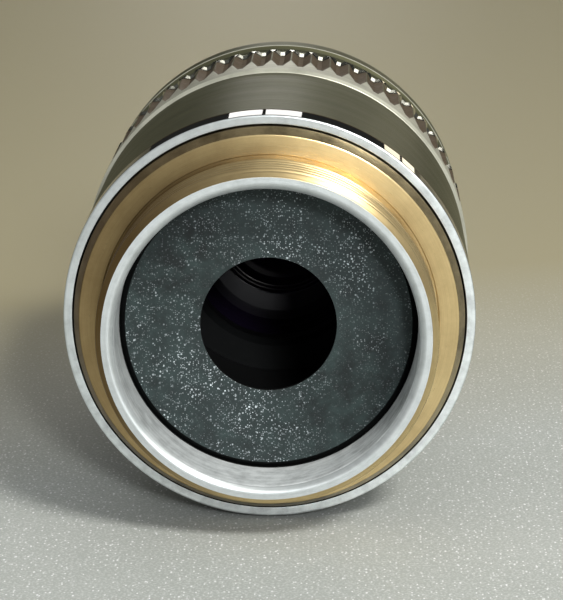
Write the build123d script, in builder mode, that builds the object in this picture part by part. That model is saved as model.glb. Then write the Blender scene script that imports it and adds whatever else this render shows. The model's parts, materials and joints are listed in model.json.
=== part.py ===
from build123d import *
from math import pi, sqrt
import os

# Microscope objective with a screw mount at the rear and a sprung nose.
# Millimetres. The optical axis is Z, the origin is the centre of the rear rim,
# and +Z runs from the mount towards the nose.
# The mount thread's radius is the leading size: the other rings follow it by steps and walls.

# Mount thread and seat
thread_r = 10.16
thread_length = 4.5
thread_lead = 0.34
thread_wall = 1.16
undercut_length = 0.6
undercut_depth = 0.36
undercut_slope = 0.2
undercut_overrun = 0.09
undercut_face_depth = 0.1
seat_width = 1.3
flange_edge = 0.39
flange_taper = 0.7
flange_length = 2.1
bore_step = 0.7

# Rear bore and stop
rear_bore_bevel = 0.3
stop_depth = 4.0
stop_thickness = 1.0
stop_hole_r = 4.1
stop_land = 0.3
stop_bevel = 0.5

# Outer sleeve
flange_gap = 0.1
sleeve_rim_width = 0.55
sleeve_setback = 0.85
sleeve_length = 16.75
sleeve_edge = 0.12
sleeve_thread_step = 0.8
sleeve_thread_wall = 0.8
sleeve_thread_length = 11.1
sleeve_seam_groove = 0.12
spigot_length = 3.9

# Knurled sleeve
tooth_count = 60
tooth_rise = 0.2
tooth_depth = 0.36
tooth_crest_width = 0.1
tooth_edge_length = 0.25
groove_floor_width = 0.3
groove_start = 1.6
groove_runout = 2.5
groove_overrun = 0.03
groove_turn = 0.8
knurl_length = 8.9
band_step = 0.06
band_length = 3.0
band_end_slope = 0.3
grip_rim_rise = 0.05
lip_thickness = 3.3
nose_round = 0.8
lip_width = 1.15
lip_bevel_width = 0.85
lip_front_depth = 0.9

# Nose carriage
travel = 2.0
carriage_land = 2.5
carriage_relief = 0.46
carriage_end_gap = 0.3
neck_length = 4.9
cap_thread_step = 0.9
cap_thread_length = 3.0
cap_thread_wall = 0.8
cell_seat_depth = 2.0
cell_seat_clearance = 0.3

# Nose cap
cap_collar_length = 2.2
nose_cone_length = 5.4
nose_edge_length = 0.4
nose_edge_width = 0.45
nose_face_width = 1.25
cap_bore_step = 1.1
cap_shoulder_depth = 2.4

# Spring, shim and seat ring
spring_wire_r = 0.4
spring_play = 0.9
spring_length = 6.0
spring_turns = 4
spring_wire_sides = 8
spring_seat_thickness = 0.4
spring_seat_width = 2.11
shim_thickness = 0.3

# Lenses and their cells
cell_wall = 1.36
cell_lip_width = 0.7
cell_lip = 0.8
front_doublet_cell_length = 4.6
spacer_length = 2.5
rear_doublet_cell_length = 5.0
spacer_bevel = 0.6
ring_thickness = 1.6
ring_slot_width = 1.2
ring_slot_depth = 0.8
ring_bevel = 0.4
meniscus_front_curve = 26.0
meniscus_rear_curve = 11.5
meniscus_edge = 0.57
meniscus_room = 0.05
crown_outer_curve = 24.0
cement_curve = 18.0
crown_edge = 0.72
flint_outer_curve = 60.0
flint_thickness = 1.1

# Front lens in the nose
front_lens_r = 3.0
front_lens_curve = 3.4
front_lens_thickness = 2.4
front_lens_depth = 0.4
front_cell_wall = 0.86
front_cell_depth = 0.2
front_cell_lip_width = 0.4
front_cell_flange = 2.0
front_cell_bevel = 0.5
front_ring_width = 1.58

# Screws
guide_screw_setback = 1.9
guide_screw_r = 1.0
guide_dog_r = 0.6
guide_dog_reach = 1.4
guide_slot_depth = 1.1
guide_screw_slot = 0.3
centring_screw_r = 0.7
centring_screw_length = 2.1
centring_hex_r = 0.35
centring_hex_depth = 0.8
centring_count = 3

# Clearances, and how far a cut runs past what it cuts
screwed_gap = 0.02
running_gap = 0.04
lens_gap = 0.02
cement_gap = 0.01
shim_gap = 0.08
slot_gap = 0.05
cut_margin = 1.0

# Radii, from the mount thread outwards
rim_r = thread_r - thread_lead
seat_inner_r = thread_r + undercut_overrun
seat_r = thread_r + seat_width
flange_r = seat_r + flange_edge
recess_r = flange_r + flange_gap
sleeve_r = recess_r + sleeve_rim_width
tooth_tip_r = sleeve_r + tooth_rise
tooth_root_r = tooth_tip_r - tooth_depth
band_r = tooth_root_r - band_step
grip_rim_r = sleeve_r + grip_rim_rise

# Radii, from the barrel inwards
sleeve_thread_r = sleeve_r - sleeve_thread_step
grip_thread_r = sleeve_thread_r + screwed_gap
guide_bore_r = sleeve_thread_r - sleeve_thread_wall
spigot_r = guide_bore_r - screwed_gap
rear_bore_r = thread_r - thread_wall
mount_inner_r = rear_bore_r - bore_step
spring_r = guide_bore_r - spring_play - spring_wire_r
land_r = guide_bore_r - running_gap
lip_bore_r = guide_bore_r - lip_width
lip_front_r = lip_bore_r + lip_bevel_width
neck_r = lip_bore_r - slot_gap
cap_thread_r = neck_r - cap_thread_step
cell_bore_r = cap_thread_r - cap_thread_wall
cell_r = cell_bore_r - screwed_gap
lens_r = cell_r - cell_wall - lens_gap
cell_aperture_r = lens_r - cell_lip_width
cell_seat_r = cell_aperture_r + cell_seat_clearance

# Radii of the nose, from the front lens outwards
cap_hole_r = front_lens_r + lens_gap + front_cell_wall + screwed_gap
cap_bore_r = cap_hole_r + cap_bore_step
nose_face_r = cap_hole_r + nose_face_width
nose_cone_r = nose_face_r + nose_edge_width
front_cell_aperture_r = front_lens_r - front_cell_lip_width

# Heights above the rear rim
seat_z = thread_length
flange_front = seat_z + flange_length
shim_front = flange_front + shim_thickness
mount_front = flange_front + spigot_length
spring_front = mount_front + spring_length
carriage_rear = spring_front + spring_seat_thickness
sleeve_rear = seat_z + sleeve_setback
sleeve_front = sleeve_rear + sleeve_length
sleeve_thread_front = sleeve_front + sleeve_thread_length
guide_z = sleeve_front + guide_screw_setback
groove_rear = sleeve_front + groove_start
groove_full = groove_rear + groove_runout
knurl_front = sleeve_front + knurl_length
band_front = knurl_front + band_length
carriage_stop = sleeve_thread_front + carriage_end_gap
grip_front = carriage_stop + lip_thickness
neck_front = carriage_stop + neck_length
cell_seat = neck_front + cell_seat_depth
nose_cone_start = neck_front + cap_collar_length
nose_tip = nose_cone_start + nose_cone_length + nose_edge_length
cap_shoulder = nose_tip - cap_shoulder_depth
front_lens_face = nose_tip - front_lens_depth
front_cell_tip = nose_tip - front_cell_depth


def lens_height(vertex, curve, radius):
    """Height of a spherical surface at a radius. A positive curve opens towards the nose, 0 is flat."""
    if curve == 0:
        return vertex
    side = 1 if curve > 0 else -1
    return vertex + curve - side * sqrt(curve**2 - radius**2)


def bulge(curve, radius):
    """How far a spherical surface rises from a radius to its vertex."""
    return curve - sqrt(curve**2 - radius**2)


def lens_side(vertex, curve, edge_r):
    """The half outline of a lens surface, from the axis to the lens edge."""
    rim = (edge_r, lens_height(vertex, curve, edge_r))
    if curve == 0:
        return Line((0, vertex), rim)
    middle = (edge_r / 2, lens_height(vertex, curve, edge_r / 2))
    return ThreePointArc((0, vertex), middle, rim)


def lens(rear_vertex, rear_curve, front_vertex, front_curve, edge_r):
    """One ground lens, turned from its half section."""
    rear_rim = (edge_r, lens_height(rear_vertex, rear_curve, edge_r))
    front_rim = (edge_r, lens_height(front_vertex, front_curve, edge_r))
    with BuildPart() as element:
        with BuildSketch(Plane.XZ):
            with BuildLine():
                lens_side(rear_vertex, rear_curve, edge_r)
                Line(rear_rim, front_rim)
                lens_side(front_vertex, front_curve, edge_r)
                Line((0, front_vertex), (0, rear_vertex))
            make_face()
        revolve(axis=Axis.Z)
    return element


def lens_cell(rear, front, lip):
    """A turned cell: a pocket that takes a lens from the rear, and a lip at its front."""
    with BuildPart() as cell:
        with BuildSketch(Plane.XY.offset(rear)):
            Circle(cell_r)
        extrude(amount=front - rear)
        with BuildSketch(Plane.XY.offset(rear)):
            Circle(lens_r + lens_gap)
        extrude(amount=front - lip - rear, mode=Mode.SUBTRACT)
        with BuildSketch(Plane.XY.offset(rear)):
            Circle(cell_aperture_r)
        extrude(amount=front - rear, mode=Mode.SUBTRACT)
    return cell


def seated_vertex(lip_plane, curve, aperture_r, edge_r):
    """Where a lens's front vertex lies when its surface or its edge rests on the cell's lip."""
    reach = max(lens_height(0, curve, aperture_r), lens_height(0, curve, edge_r))
    return lip_plane - cement_gap - reach


# Mount body: thread, seat flange and the spigot that screws into the outer sleeve
with BuildPart() as mount_body:
    with BuildSketch(Plane.XZ):
        with BuildLine():
            Polyline(
                (rear_bore_r + rear_bore_bevel, 0),
                (rim_r, 0),
                (thread_r, thread_lead),
                (thread_r, seat_z - undercut_length - undercut_slope),
                (thread_r - undercut_depth, seat_z - undercut_length),
                (thread_r - undercut_depth, seat_z + undercut_face_depth),
                (seat_inner_r, seat_z + undercut_face_depth),
                (seat_inner_r, seat_z),
                (seat_r, seat_z),
                (flange_r, seat_z + flange_taper),
                (flange_r, flange_front),
                (spigot_r, flange_front),
                (spigot_r, mount_front),
                (mount_inner_r, mount_front),
                (mount_inner_r, stop_depth + stop_thickness),
                (rear_bore_r, stop_depth + stop_thickness),
                (rear_bore_r, rear_bore_bevel),
                close=True,
            )
        make_face()
    revolve(axis=Axis.Z)
mount_body.part.label = "mount_body"

# Rear stop: a black disc with a sharp-edged hole that opens towards the lenses
stop_r = rear_bore_r - screwed_gap
stop_front = stop_depth + stop_thickness
with BuildPart() as rear_stop:
    with BuildSketch(Plane.XZ):
        with BuildLine():
            Polyline(
                (stop_hole_r, stop_depth),
                (stop_r, stop_depth),
                (stop_r, stop_front),
                (stop_hole_r + stop_bevel, stop_front),
                (stop_hole_r, stop_depth + stop_land),
                close=True,
            )
        make_face()
    revolve(axis=Axis.Z)
rear_stop.part.label = "rear_stop"

# Shim that sets the distance from the seat to the focus
with BuildPart() as parfocal_shim:
    with BuildSketch(Plane.XY.offset(flange_front)):
        Circle(flange_r - shim_gap)
        Circle(guide_bore_r + shim_gap, mode=Mode.SUBTRACT)
    extrude(amount=shim_thickness)
parfocal_shim.part.label = "parfocal_shim"

# Outer sleeve: the plain barrel, bored for the carriage and threaded for the knurled sleeve
with BuildPart() as outer_sleeve:
    with BuildSketch(Plane.XY.offset(sleeve_rear)):
        Circle(sleeve_r)
    extrude(amount=sleeve_front - sleeve_rear)
    chamfer(outer_sleeve.edges().filter_by(GeomType.CIRCLE).group_by(Axis.Z)[0], sleeve_edge)
    chamfer(outer_sleeve.edges().filter_by(GeomType.CIRCLE).group_by(Axis.Z)[-1], sleeve_seam_groove)
    with BuildSketch(Plane.XY.offset(sleeve_front)):
        Circle(sleeve_thread_r)
    extrude(amount=sleeve_thread_length)
    with BuildSketch(Plane.XY.offset(sleeve_rear)):
        Circle(guide_bore_r)
    extrude(amount=sleeve_thread_front - sleeve_rear, mode=Mode.SUBTRACT)
    with BuildSketch(Plane.XY.offset(sleeve_rear)):
        Circle(recess_r)
    extrude(amount=shim_front - sleeve_rear, mode=Mode.SUBTRACT)
    with BuildSketch(Plane.XZ.offset(-sleeve_thread_r - cut_margin)):
        with Locations((0, guide_z)):
            Circle(guide_screw_r + screwed_gap)
    extrude(amount=sleeve_thread_r + cut_margin, mode=Mode.SUBTRACT)
outer_sleeve.part.label = "outer_sleeve"

# One groove of the knurl: it runs out towards the rear and opens into the band in front
groove_half = pi * tooth_tip_r / tooth_count - tooth_crest_width / 2
groove_slope = (groove_half - groove_floor_width / 2) / tooth_depth


def groove_section(floor_r):
    """The outline of the groove when its floor lies at a radius."""
    mouth_r = floor_r + tooth_depth + groove_overrun
    mouth_half = groove_half + groove_slope * groove_overrun
    return Polygon(
        (floor_r, -groove_floor_width / 2),
        (floor_r, groove_floor_width / 2),
        (mouth_r, mouth_half),
        (mouth_r, -mouth_half),
        align=None,
    )


with BuildPart() as groove:
    with BuildSketch(Plane.XY.offset(groove_rear)):
        groove_section(tooth_tip_r + groove_overrun)
    with BuildSketch(Plane.XY.offset(groove_full)):
        groove_section(tooth_root_r)
    loft()
    with BuildSketch(Plane.XY.offset(groove_full)):
        groove_section(tooth_root_r)
    extrude(amount=knurl_front + groove_overrun - groove_full)

# Knurled sleeve: it screws over the barrel's front and its lip holds the carriage in
with BuildPart() as knurled_sleeve:
    with BuildSketch(Plane.XZ):
        with BuildLine():
            Polyline(
                (grip_thread_r, sleeve_front),
                (sleeve_r, sleeve_front),
                (tooth_tip_r, sleeve_front + tooth_edge_length),
                (tooth_tip_r, knurl_front),
                (band_r, knurl_front),
                (band_r, band_front),
                (grip_rim_r, band_front + band_end_slope),
                (grip_rim_r, grip_front - nose_round),
            )
            RadiusArc(
                (grip_rim_r, grip_front - nose_round),
                (grip_rim_r - nose_round, grip_front),
                -nose_round,
            )
            Polyline(
                (grip_rim_r - nose_round, grip_front),
                (lip_front_r, grip_front),
                (lip_bore_r, grip_front - lip_front_depth),
                (lip_bore_r, carriage_stop),
                (grip_thread_r, carriage_stop),
                (grip_thread_r, sleeve_front),
            )
        make_face()
    revolve(axis=Axis.Z)
    with PolarLocations(0, tooth_count, start_angle=groove_turn):
        add(groove.part, mode=Mode.SUBTRACT)
knurled_sleeve.part.label = "knurled_sleeve"

# Spring between the mount and the carriage: an eight-sided wire, its ends ground flat
with BuildPart() as carriage_spring:
    with BuildLine():
        coil = Helix(spring_length / spring_turns, spring_length, spring_r, center=(0, 0, mount_front))
    with BuildSketch(Plane(origin=coil @ 0, z_dir=coil % 0)):
        RegularPolygon(spring_wire_r, spring_wire_sides)
    sweep(path=coil)
    with BuildSketch(Plane.XY.offset(mount_front)):
        Circle(spring_r + 2 * spring_wire_r)
    extrude(amount=spring_length, mode=Mode.INTERSECT)
carriage_spring.part.label = "carriage_spring"

# Seat ring that spreads the spring's load on the carriage
spring_seat_r = land_r - slot_gap
with BuildPart() as spring_seat:
    with BuildSketch(Plane.XY.offset(spring_front)):
        Circle(spring_seat_r)
        Circle(spring_seat_r - spring_seat_width, mode=Mode.SUBTRACT)
    extrude(amount=spring_seat_thickness)
spring_seat.part.label = "spring_seat"

# Rear ends of the lens cells, counted from their seat at the nose
meniscus_rise = bulge(meniscus_front_curve, lens_r)
meniscus_hollow = bulge(meniscus_rear_curve, lens_r)
meniscus_rear = cell_seat - cell_lip - meniscus_edge - meniscus_hollow - meniscus_room
front_doublet_rear = meniscus_rear - front_doublet_cell_length
spacer_rear = front_doublet_rear - spacer_length
rear_doublet_rear = spacer_rear - rear_doublet_cell_length

# Carriage: two guide lands, a neck through the lip, and the bore for the lens cells
relief_r = land_r - carriage_relief
slot_rear = guide_z - guide_dog_r - slot_gap
slot_front = guide_z + travel + guide_dog_r + slot_gap
centring_z = rear_doublet_rear + rear_doublet_cell_length / 2
with BuildPart() as carriage_tube:
    with BuildSketch(Plane.XZ):
        with BuildLine():
            Polyline(
                (cell_bore_r, carriage_rear),
                (land_r, carriage_rear),
                (land_r, carriage_rear + carriage_land),
                (relief_r, carriage_rear + carriage_land),
                (relief_r, carriage_stop - carriage_land),
                (land_r, carriage_stop - carriage_land),
                (land_r, carriage_stop),
                (neck_r, carriage_stop),
                (neck_r, neck_front),
                (cap_thread_r, neck_front),
                (cap_thread_r, neck_front + cap_thread_length),
                (cell_seat_r, neck_front + cap_thread_length),
                (cell_seat_r, cell_seat),
                (cell_bore_r, cell_seat),
                close=True,
            )
        make_face()
    revolve(axis=Axis.Z)
    with BuildSketch(Plane.XZ.offset(-land_r - cut_margin)):
        with Locations((0, (slot_rear + slot_front) / 2)):
            SlotOverall(slot_front - slot_rear, 2 * (guide_dog_r + slot_gap), rotation=90)
    extrude(amount=land_r + cut_margin - relief_r + guide_slot_depth, mode=Mode.SUBTRACT)
    with BuildSketch(Plane.XZ.offset(relief_r + cut_margin)):
        with Locations((0, centring_z)):
            Circle(centring_screw_r + screwed_gap)
    hole = extrude(amount=-(relief_r + cut_margin), mode=Mode.PRIVATE)
    with PolarLocations(0, centring_count):
        add(hole, mode=Mode.SUBTRACT)
carriage_tube.part.label = "carriage_tube"

# Screws that centre the rear doublet's cell, in three radial holes of the carriage
screw_outer_r = cell_bore_r + centring_screw_length
with BuildPart() as centring_screws:
    with BuildSketch(Plane.XZ.offset(screw_outer_r)):
        with Locations((0, centring_z)):
            Circle(centring_screw_r)
    screw = extrude(amount=-centring_screw_length, mode=Mode.PRIVATE)
    with BuildSketch(Plane.XZ.offset(screw_outer_r)):
        with Locations((0, centring_z)):
            RegularPolygon(centring_hex_r, 6)
    hex_socket = extrude(amount=-centring_hex_depth, mode=Mode.PRIVATE)
    with PolarLocations(0, centring_count):
        add(screw)
        add(hex_socket, mode=Mode.SUBTRACT)
centring_screws.part.label = "centring_screws"

# Guide screw: its dog runs in the carriage's slot and keeps the nose from turning
guide_shoulder_r = guide_bore_r + running_gap
with BuildPart() as guide_screw:
    with BuildSketch(Plane.XZ.offset(-sleeve_thread_r + screwed_gap)):
        with Locations((0, guide_z)):
            Circle(guide_screw_r)
    extrude(amount=sleeve_thread_r - screwed_gap - guide_shoulder_r)
    with BuildSketch(Plane.XZ.offset(-guide_shoulder_r)):
        with Locations((0, guide_z)):
            Circle(guide_dog_r)
    extrude(amount=guide_dog_reach)
    with BuildSketch(Plane.XZ.offset(-sleeve_thread_r + screwed_gap)):
        with Locations((0, guide_z)):
            Rectangle(2 * guide_screw_r, guide_screw_slot)
    extrude(amount=guide_screw_slot, mode=Mode.SUBTRACT)
guide_screw.part.label = "guide_screw"

# Nose cap: it screws on the neck and tapers to the front lens
cap_rear_bore = neck_front + cap_thread_length + shim_gap
with BuildPart() as nose_cap:
    with BuildSketch(Plane.XZ):
        with BuildLine():
            Polyline(
                (cap_thread_r + screwed_gap, neck_front),
                (neck_r, neck_front),
                (neck_r, nose_cone_start),
                (nose_cone_r, nose_cone_start + nose_cone_length),
                (nose_face_r, nose_tip),
                (cap_hole_r, nose_tip),
                (cap_hole_r, cap_shoulder),
                (cap_bore_r, cap_shoulder),
                (cap_bore_r, cap_rear_bore),
                (cap_thread_r + screwed_gap, cap_rear_bore),
                close=True,
            )
        make_face()
    revolve(axis=Axis.Z)
nose_cap.part.label = "nose_cap"

# Lens cells
meniscus_cell = lens_cell(meniscus_rear, cell_seat, cell_lip)
meniscus_cell.part.label = "meniscus_cell"
front_doublet_cell = lens_cell(front_doublet_rear, meniscus_rear, cell_lip)
front_doublet_cell.part.label = "front_doublet_cell"
rear_doublet_cell = lens_cell(rear_doublet_rear, spacer_rear, cell_lip)
rear_doublet_cell.part.label = "rear_doublet_cell"

# Spacer between the two doublet cells, bevelled inside at both ends
with BuildPart() as doublet_spacer:
    with BuildSketch(Plane.XY.offset(spacer_rear)):
        Circle(cell_r)
        Circle(lens_r, mode=Mode.SUBTRACT)
    extrude(amount=spacer_length)
    inner_edges = doublet_spacer.edges().filter_by(GeomType.CIRCLE).group_by(SortBy.RADIUS)[0]
    chamfer(inner_edges, spacer_bevel)
doublet_spacer.part.label = "doublet_spacer"

# Retaining ring behind the cells, with two slots for a pin wrench
with BuildPart() as cell_retaining_ring:
    with BuildSketch(Plane.XY.offset(rear_doublet_rear - ring_thickness)):
        Circle(cell_r)
        Circle(cell_aperture_r, mode=Mode.SUBTRACT)
    extrude(amount=ring_thickness)
    bore_edges = cell_retaining_ring.edges().filter_by(GeomType.CIRCLE).group_by(SortBy.RADIUS)[0]
    chamfer(bore_edges.sort_by(Axis.Z)[0], ring_bevel)
    with BuildSketch(Plane.XY.offset(rear_doublet_rear - ring_thickness)):
        Rectangle(2 * cell_r + cut_margin, ring_slot_width)
    extrude(amount=ring_slot_depth, mode=Mode.SUBTRACT)
cell_retaining_ring.part.label = "cell_retaining_ring"

# Meniscus lens, hollow towards the nose side of its cell
meniscus_vertex = seated_vertex(
    cell_seat - cell_lip, meniscus_front_curve, cell_aperture_r, lens_r
)
meniscus_lens = lens(
    meniscus_vertex + meniscus_rise - meniscus_edge - meniscus_hollow,
    meniscus_rear_curve,
    meniscus_vertex,
    meniscus_front_curve,
    lens_r,
)
meniscus_lens.part.label = "meniscus_lens"


def doublet(lip_plane):
    """A cemented pair: a flint towards the nose and a crown behind it."""
    flint_front = seated_vertex(lip_plane, -flint_outer_curve, cell_aperture_r, lens_r)
    flint_rear = flint_front - flint_thickness
    crown_front = flint_rear - cement_gap
    crown_thickness = crown_edge + bulge(crown_outer_curve, lens_r) + bulge(cement_curve, lens_r)
    flint = lens(flint_rear, -cement_curve, flint_front, -flint_outer_curve, lens_r)
    crown = lens(
        crown_front - crown_thickness, crown_outer_curve, crown_front, -cement_curve, lens_r
    )
    return flint, crown


front_doublet_flint, front_doublet_crown = doublet(meniscus_rear - cell_lip)
front_doublet_flint.part.label = "front_doublet_flint"
front_doublet_crown.part.label = "front_doublet_crown"
rear_doublet_flint, rear_doublet_crown = doublet(spacer_rear - cell_lip)
rear_doublet_flint.part.label = "rear_doublet_flint"
rear_doublet_crown.part.label = "rear_doublet_crown"

# Front lens: nearly a half ball, its flat face at the nose
front_lens_vertex = front_lens_face - front_lens_thickness
front_lens = lens(front_lens_vertex, front_lens_curve, front_lens_face, 0, front_lens_r)
front_lens.part.label = "front_lens"

# Front lens cell, held between the cap's shoulder and the neck
front_cell_lip = lens_height(front_lens_vertex, front_lens_curve, front_cell_aperture_r)
front_cell_rear = cap_shoulder - front_cell_flange
with BuildPart() as front_lens_cell:
    with BuildSketch(Plane.XZ):
        with BuildLine():
            Polyline(
                (front_cell_aperture_r + front_cell_bevel, front_cell_rear),
                (cap_bore_r - screwed_gap, front_cell_rear),
                (cap_bore_r - screwed_gap, cap_shoulder),
                (cap_hole_r - screwed_gap, cap_shoulder),
                (cap_hole_r - screwed_gap, front_cell_tip),
                (front_lens_r + lens_gap, front_cell_tip),
                (front_lens_r + lens_gap, front_cell_lip - cement_gap),
                (front_cell_aperture_r, front_cell_lip - cement_gap),
                (front_cell_aperture_r, front_cell_rear + front_cell_bevel),
                close=True,
            )
        make_face()
    revolve(axis=Axis.Z)
front_lens_cell.part.label = "front_lens_cell"

# Threaded ring that holds the front lens cell against the cap's shoulder
with BuildPart() as front_cell_ring:
    with BuildSketch(Plane.XY.offset(cap_rear_bore)):
        Circle(cap_bore_r - screwed_gap)
        Circle(cap_bore_r - screwed_gap - front_ring_width, mode=Mode.SUBTRACT)
    extrude(amount=front_cell_rear - cap_rear_bore)
front_cell_ring.part.label = "front_cell_ring"

pieces = (
    mount_body,
    rear_stop,
    parfocal_shim,
    outer_sleeve,
    knurled_sleeve,
    guide_screw,
    carriage_spring,
    spring_seat,
    carriage_tube,
    centring_screws,
    cell_retaining_ring,
    rear_doublet_cell,
    rear_doublet_crown,
    rear_doublet_flint,
    doublet_spacer,
    front_doublet_cell,
    front_doublet_crown,
    front_doublet_flint,
    meniscus_cell,
    meniscus_lens,
    nose_cap,
    front_lens_cell,
    front_cell_ring,
    front_lens,
)

os.makedirs("parts", exist_ok=True)
for piece in pieces:
    export_step(piece.part, f"parts/{piece.part.label}.step")
    print(piece.part.label, len(piece.part.solids()), round(piece.part.volume, 2))
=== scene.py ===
import json
import math
from collections import namedtuple

import bmesh
import bpy
from mathutils import Matrix, Vector


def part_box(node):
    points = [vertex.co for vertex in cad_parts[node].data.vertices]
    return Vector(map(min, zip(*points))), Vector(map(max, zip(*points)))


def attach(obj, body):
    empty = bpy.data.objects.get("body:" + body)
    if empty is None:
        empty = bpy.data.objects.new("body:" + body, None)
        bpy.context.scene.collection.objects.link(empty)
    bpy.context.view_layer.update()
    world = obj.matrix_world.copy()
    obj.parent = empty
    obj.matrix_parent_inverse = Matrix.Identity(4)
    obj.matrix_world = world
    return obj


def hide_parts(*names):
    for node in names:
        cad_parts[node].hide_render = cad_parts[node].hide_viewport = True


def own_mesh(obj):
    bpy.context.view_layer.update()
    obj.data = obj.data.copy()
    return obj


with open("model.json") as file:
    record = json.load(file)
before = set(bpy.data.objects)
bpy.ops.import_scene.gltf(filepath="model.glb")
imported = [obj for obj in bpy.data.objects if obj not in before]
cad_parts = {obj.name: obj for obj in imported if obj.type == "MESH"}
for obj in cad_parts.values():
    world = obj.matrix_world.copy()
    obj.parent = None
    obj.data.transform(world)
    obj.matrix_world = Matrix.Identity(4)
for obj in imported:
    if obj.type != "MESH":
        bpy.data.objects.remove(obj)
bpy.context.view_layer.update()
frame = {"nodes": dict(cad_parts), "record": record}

# Lengths in this script are millimetres, turned to metres where a mesh is made
MM = 0.001
FULL_TURN = 2 * math.pi

# Sizes read from the frame
mount_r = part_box("mount_body")[1].x / MM
mount_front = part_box("mount_body")[1].z / MM
sleeve_low, sleeve_high = [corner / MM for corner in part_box("outer_sleeve")]
sleeve_r = sleeve_high.x
sleeve_rear = sleeve_low.z
grip_low, grip_high = [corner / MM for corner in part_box("knurled_sleeve")]
tooth_tip_r = grip_high.x
stop_low, stop_high = [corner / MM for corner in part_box("rear_stop")]
nose_low, nose_high = [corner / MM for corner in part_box("nose_cap")]
spring_low, spring_high = [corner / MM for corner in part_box("carriage_spring")]
mounts = {mount["name"]: mount for mount in frame["record"]["mounts"]}
thread_r = mounts["thread"]["dims"]["r_mm"]
seat_z = mounts["shoulder_seat"]["pos_m"][2] / MM

# Mount
thread_pitch = 25.4 / 36
thread_depth = 0.4
thread_rows = 60
thread_lead = 0.34
undercut_length = 0.6
undercut_depth = 0.36
undercut_slope = 0.2
undercut_face_depth = 0.1
seat_inner_r = 10.25
seat_r = 11.46
flange_taper = 0.7
flange_front = 6.6
spigot_r = 10.88
mount_inner_r = 8.3
rear_bore_r = 9.0
rear_bore_bevel = 0.3
rim_line = 0.05

# Rear stop
stop_shadow_edge = 0.34
stop_hole_r = 4.1
stop_land = 0.3
stop_bevel = 0.5

# Barrel
barrel_front = 22.1
barrel_band = 2.0
barrel_line = 0.16
barrel_line_depth = 0.03
barrel_line_slope = 0.04
recess_r = 11.95
recess_front = 6.9
guide_bore_r = 10.9
barrel_thread_r = 11.7

# Knurled sleeve
tooth_count = 60
tooth_depth = 0.36
tooth_crest_width = 0.1
tooth_edge_length = 0.25
groove_floor_width = 0.3
groove_start = 1.6
groove_runout = 2.5
groove_turn = 0.8
knurl_length = 8.9
groove_end_slope = 0.7
groove_end_rise = 0.5
band_step = 0.06
band_length = 3.0
band_end_slope = 0.3
grip_rim_rise = 0.05
# How far below the front rim the painted highlight strip starts, in millimetres
grip_highlight_line = 0.04
grip_round = 0.8
grip_thread_r = 11.72
# Slack for telling the tips of the teeth from what lies inside or beyond them
edge_margin = 0.01
paint_margin = 0.012
lip_r = 9.75
lip_rear = 33.5
lip_front_r = 10.6
lip_front_depth = 0.9

# Nose
cone_start = 40.6
cone_r = 5.6
cone_length = 5.4
nose_face_r = 5.15
nose_hole_r = 3.9
nose_hole_depth = 2.4
nose_back_r = 8.82
nose_bore_r = 5.0
nose_bore_rear = 41.48

# Spring
spring_r = 9.6
spring_wire_r = 0.4
spring_turns = 4

# Colours as red, green and blue shares of the light, with the darker tone of the same surface beside them
BRASS, BRASS_DARK = (0.72, 0.56, 0.29), (0.26, 0.165, 0.07)
BROWN, BROWN_DARK = (0.46, 0.36, 0.20), (0.05, 0.035, 0.015)
OLIVE, OLIVE_DARK = (0.142, 0.138, 0.08), (0.085, 0.085, 0.05)
# Dark brown of the knurl's groove flanks: dirt in the grooves, and painted shade and dark reflection there
FLANK, FLANK_DARK = (0.080, 0.052, 0.024), (0.036, 0.024, 0.012)
LINE, LINE_DARK = (0.10, 0.07, 0.04), (0.03, 0.02, 0.01)
BORE, BORE_DARK = (0.84, 0.87, 0.87), (0.16, 0.17, 0.17)
CHROME, CHROME_DARK = (0.62, 0.62, 0.60), (0.3, 0.3, 0.28)
STEEL, STEEL_DARK = (0.12, 0.12, 0.12), (0.05, 0.05, 0.05)
PLATE, END_FACE, SILVER_DARK = (0.58, 0.61, 0.61), (0.74, 0.78, 0.78), (0.36, 0.38, 0.38)
KNURL_FACE, GRIP_POLISH, GROOVE_END = (0.60, 0.59, 0.49), (0.27, 0.28, 0.20), (0.66, 0.66, 0.56)
# A tarnished brown, also laid on one side of the brass as painted shade
TARNISH_SHADE_BROWN = (0.092, 0.048, 0.013)
ENAMEL = (0.008, 0.008, 0.008)
STOP_BLACK, STOP_GREY, STOP_SHEEN = (0.001, 0.004, 0.004), (0.014, 0.026, 0.025), (0.030, 0.043, 0.044)
CRYSTAL_GLINT = (0.75, 0.82, 0.86)
BLACKENED, BLACKENED_DARK = (0.006, 0.006, 0.006), (0.002, 0.003, 0.003)
TUBE_BLACK = (0.004, 0.004, 0.004)
GLASS_PURPLE, GLASS_GREEN = (0.012, 0.006, 0.020), (0.010, 0.020, 0.016)
BENCH, BENCH_DARK, BENCH_FAR = (0.40, 0.415, 0.39), (0.31, 0.325, 0.30), (0.335, 0.295, 0.18)
SPARKLE, GLINT = (0.60, 0.61, 0.59), (0.78, 0.78, 0.78)
ROOM, ROOM_DARK = (0.40, 0.41, 0.41), (0.022, 0.022, 0.02)
DAYLIGHT, WARM_LIGHT = (1.0, 0.98, 0.94), (1.0, 0.89, 0.66)
LAMP_LIGHT, SKY_LIGHT = (1.0, 0.99, 0.95), (0.95, 0.98, 1.0)

# Finishes
# The side darkened to a tarnished brown, also as painted shade away from the lamps, and the share of it that
# the seat keeps
tarnish_shade_turn = math.radians(185)
seat_tarnish_shade = 0.72
line_wander = 0.6
# The smoothest and the roughest turning marks, as shares of a finish's roughness
marks_smooth = 0.7
marks_rough = 1.4
rubbing_lines_per_mm = 30.0
rubbing_rough = 2.5
carriage_dark_r = 9.3
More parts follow.
